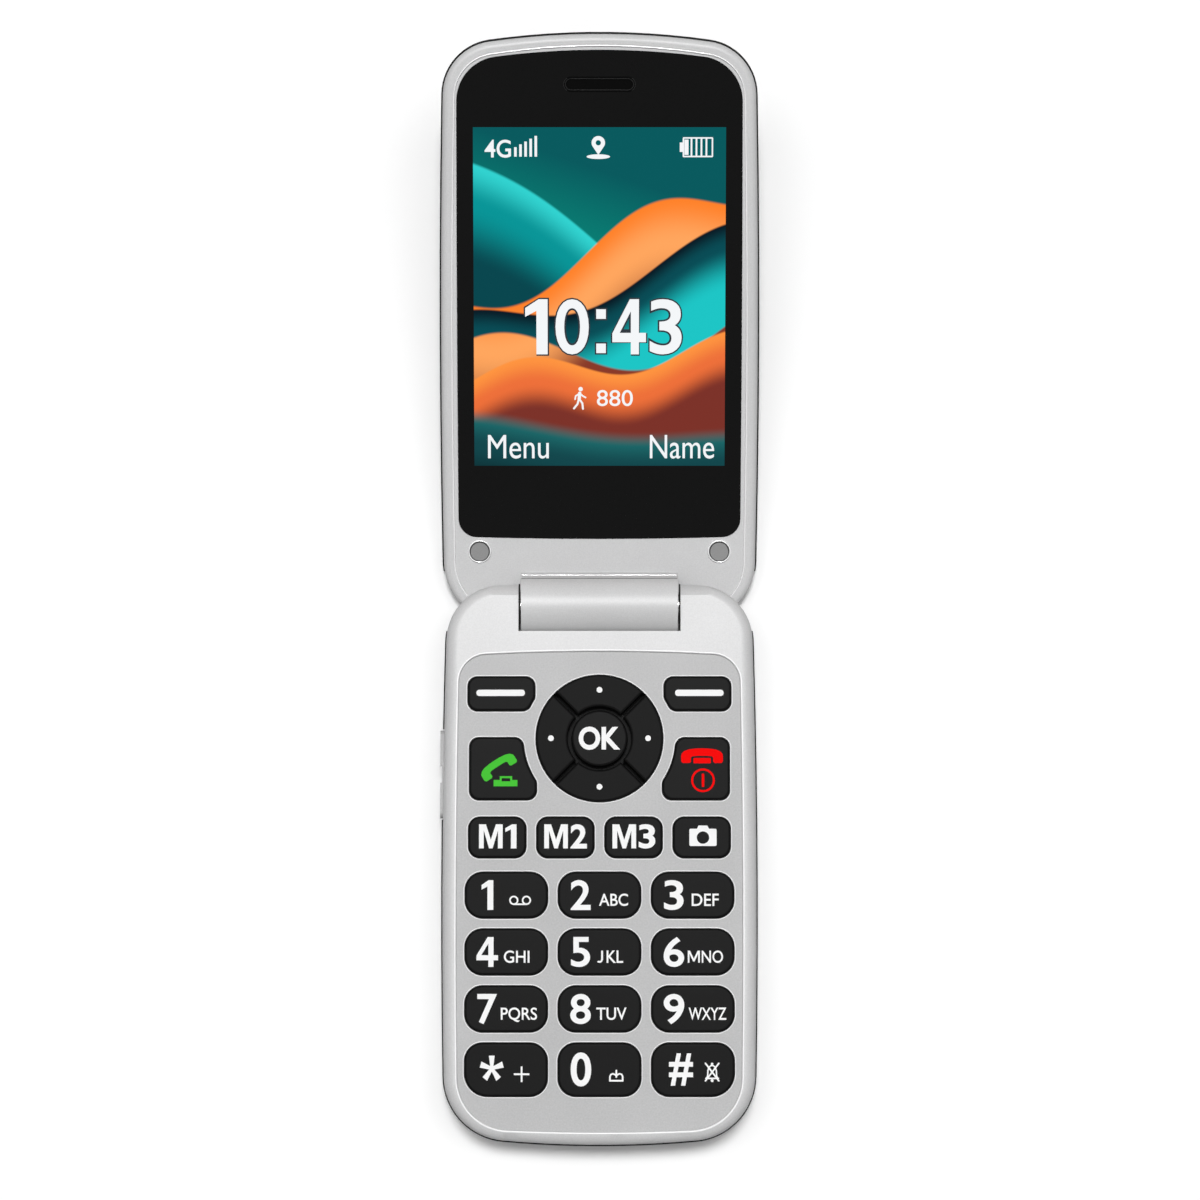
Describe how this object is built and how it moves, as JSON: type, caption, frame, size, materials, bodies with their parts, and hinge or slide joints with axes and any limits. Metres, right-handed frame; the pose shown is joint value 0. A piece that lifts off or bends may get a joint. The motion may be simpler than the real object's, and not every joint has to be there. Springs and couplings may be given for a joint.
{
  "type": "flip phone",
  "caption": "Folding mobile phone, open, with a colour display in the lid, a barrel hinge, a full keypad with a navigation disc, and a sliding battery cover.",
  "frame": {"origin": "centre of the base's flat back, which the phone lies on", "axes": "+X to the right, +Y from the base's bottom end to the hinge and the lid, +Z out of the keypad"},
  "size_m": [0.0547, 0.1891, 0.0285],
  "materials": {
    "silver_shell": "silver satin paint",
    "silver_plate": "silver satin paint",
    "black_key": "semi gloss black",
    "black_glass": "black glass gloss",
    "display_glass": "lit display",
    "lens_glass": "dark lens",
    "clear_rubber": "translucent silicone",
    "grey_rubber": "grey",
    "sheet_steel": "bright sheet",
    "hinge_steel": "satin",
    "mesh_metal": "satin ring, dark mesh",
    "contact_metal": "gold plated",
    "circuit_board": "green solder mask",
    "battery_case": "wrapped cell",
    "black_plastic": "matte",
    "white_plastic": "matte",
    "flex_film": "amber film"
  },
  "bodies": {
    "base": {"base_front_housing": "silver_shell", "base_rear_housing": "silver_shell", "keypad_plate": "silver_plate", "keymat": "clear_rubber", "dome_sheet": "sheet_steel", "main_board": "circuit_board", "board_shield": "sheet_steel", "battery": "battery_case", "battery_contacts": "contact_metal", "sim_socket": "sheet_steel", "loudspeaker": "black_plastic", "vibration_motor": "sheet_steel", "usb_port": "sheet_steel", "microphone": "contact_metal", "antenna": "black_plastic", "hinge_pins": "hinge_steel", "base_screws": "hinge_steel"},
    "lid": {"lid_front_frame": "silver_shell", "lid_rear_cover": "silver_shell", "screen_window": "black_glass", "lcd_panel": "display_glass", "backlight_frame": "white_plastic", "earpiece_mesh": "mesh_metal", "earpiece_receiver": "black_plastic", "lid_bumpers": "grey_rubber", "lid_screws": "hinge_steel", "lid_board": "circuit_board", "camera_module": "black_plastic", "camera_lens": "lens_glass", "flash_led": "white_plastic", "lid_magnet": "hinge_steel", "hinge_cartridge": "hinge_steel", "hinge_flex": "flex_film"},
    "battery_cover": {"battery_cover": "silver_shell"},
    "volume_rocker": {"volume_rocker": "silver_plate"},
    "key_1": {"key_1": "black_key"},
    "key_2": {"key_2": "black_key"},
    "key_3": {"key_3": "black_key"},
    "key_4": {"key_4": "black_key"},
    "key_5": {"key_5": "black_key"},
    "key_6": {"key_6": "black_key"},
    "key_7": {"key_7": "black_key"},
    "key_8": {"key_8": "black_key"},
    "key_9": {"key_9": "black_key"},
    "key_star": {"key_star": "black_key"},
    "key_0": {"key_0": "black_key"},
    "key_hash": {"key_hash": "black_key"},
    "key_m1": {"key_m1": "black_key"},
    "key_m2": {"key_m2": "black_key"},
    "key_m3": {"key_m3": "black_key"},
    "key_camera": {"key_camera": "black_key"},
    "key_soft_left": {"key_soft_left": "black_key"},
    "key_soft_right": {"key_soft_right": "black_key"},
    "key_call": {"key_call": "black_key"},
    "key_end": {"key_end": "black_key"},
    "nav_up": {"nav_up": "black_key"},
    "nav_down": {"nav_down": "black_key"},
    "nav_left": {"nav_left": "black_key"},
    "nav_right": {"nav_right": "black_key"},
    "nav_ok": {"nav_ok": "black_key"}
  },
  "joints": [
    {"name": "lid_fold", "type": "hinge", "parent": "base", "child": "lid", "pos_m": [0, 0.0442, 0.0074], "axis": [1, 0, 0], "range_deg": [0, 165]},
    {"name": "battery_cover_slide", "type": "slide", "parent": "base", "child": "battery_cover", "axis": [0, -1, 0], "range_m": [0, 0.012]},
    {"name": "volume_rock", "type": "hinge", "parent": "base", "child": "volume_rocker", "pos_m": [-0.0248, 0.0152, 0.0055], "axis": [0, 0, 1], "range_deg": [-2.5, 2.5], "stiffness_Nm_per_rad": 0.2},
    {"name": "press_1", "type": "slide", "parent": "base", "child": "key_1", "axis": [0, 0, -1], "range_m": [0, 0.0004], "stiffness_N_per_m": 3000},
    {"name": "press_2", "type": "slide", "parent": "base", "child": "key_2", "axis": [0, 0, -1], "range_m": [0, 0.0004], "stiffness_N_per_m": 3000},
    {"name": "press_3", "type": "slide", "parent": "base", "child": "key_3", "axis": [0, 0, -1], "range_m": [0, 0.0004], "stiffness_N_per_m": 3000},
    {"name": "press_4", "type": "slide", "parent": "base", "child": "key_4", "axis": [0, 0, -1], "range_m": [0, 0.0004], "stiffness_N_per_m": 3000},
    {"name": "press_5", "type": "slide", "parent": "base", "child": "key_5", "axis": [0, 0, -1], "range_m": [0, 0.0004], "stiffness_N_per_m": 3000},
    {"name": "press_6", "type": "slide", "parent": "base", "child": "key_6", "axis": [0, 0, -1], "range_m": [0, 0.0004], "stiffness_N_per_m": 3000},
    {"name": "press_7", "type": "slide", "parent": "base", "child": "key_7", "axis": [0, 0, -1], "range_m": [0, 0.0004], "stiffness_N_per_m": 3000},
    {"name": "press_8", "type": "slide", "parent": "base", "child": "key_8", "axis": [0, 0, -1], "range_m": [0, 0.0004], "stiffness_N_per_m": 3000},
    {"name": "press_9", "type": "slide", "parent": "base", "child": "key_9", "axis": [0, 0, -1], "range_m": [0, 0.0004], "stiffness_N_per_m": 3000},
    {"name": "press_star", "type": "slide", "parent": "base", "child": "key_star", "axis": [0, 0, -1], "range_m": [0, 0.0004], "stiffness_N_per_m": 3000},
    {"name": "press_0", "type": "slide", "parent": "base", "child": "key_0", "axis": [0, 0, -1], "range_m": [0, 0.0004], "stiffness_N_per_m": 3000},
    {"name": "press_hash", "type": "slide", "parent": "base", "child": "key_hash", "axis": [0, 0, -1], "range_m": [0, 0.0004], "stiffness_N_per_m": 3000},
    {"name": "press_m1", "type": "slide", "parent": "base", "child": "key_m1", "axis": [0, 0, -1], "range_m": [0, 0.0004], "stiffness_N_per_m": 3000},
    {"name": "press_m2", "type": "slide", "parent": "base", "child": "key_m2", "axis": [0, 0, -1], "range_m": [0, 0.0004], "stiffness_N_per_m": 3000},
    {"name": "press_m3", "type": "slide", "parent": "base", "child": "key_m3", "axis": [0, 0, -1], "range_m": [0, 0.0004], "stiffness_N_per_m": 3000},
    {"name": "press_camera", "type": "slide", "parent": "base", "child": "key_camera", "axis": [0, 0, -1], "range_m": [0, 0.0004], "stiffness_N_per_m": 3000},
    {"name": "press_soft_left", "type": "slide", "parent": "base", "child": "key_soft_left", "axis": [0, 0, -1], "range_m": [0, 0.0004], "stiffness_N_per_m": 3000},
    {"name": "press_soft_right", "type": "slide", "parent": "base", "child": "key_soft_right", "axis": [0, 0, -1], "range_m": [0, 0.0004], "stiffness_N_per_m": 3000},
    {"name": "press_call", "type": "slide", "parent": "base", "child": "key_call", "axis": [0, 0, -1], "range_m": [0, 0.0004], "stiffness_N_per_m": 3000},
    {"name": "press_end", "type": "slide", "parent": "base", "child": "key_end", "axis": [0, 0, -1], "range_m": [0, 0.0004], "stiffness_N_per_m": 3000},
    {"name": "press_nav_up", "type": "slide", "parent": "base", "child": "nav_up", "axis": [0, 0, -1], "range_m": [0, 0.0004], "stiffness_N_per_m": 3000},
    {"name": "press_nav_down", "type": "slide", "parent": "base", "child": "nav_down", "axis": [0, 0, -1], "range_m": [0, 0.0004], "stiffness_N_per_m": 3000},
    {"name": "press_nav_left", "type": "slide", "parent": "base", "child": "nav_left", "axis": [0, 0, -1], "range_m": [0, 0.0004], "stiffness_N_per_m": 3000},
    {"name": "press_nav_right", "type": "slide", "parent": "base", "child": "nav_right", "axis": [0, 0, -1], "range_m": [0, 0.0004], "stiffness_N_per_m": 3000},
    {"name": "press_nav_ok", "type": "slide", "parent": "base", "child": "nav_ok", "axis": [0, 0, -1], "range_m": [0, 0.0004], "stiffness_N_per_m": 3000}
  ]
}
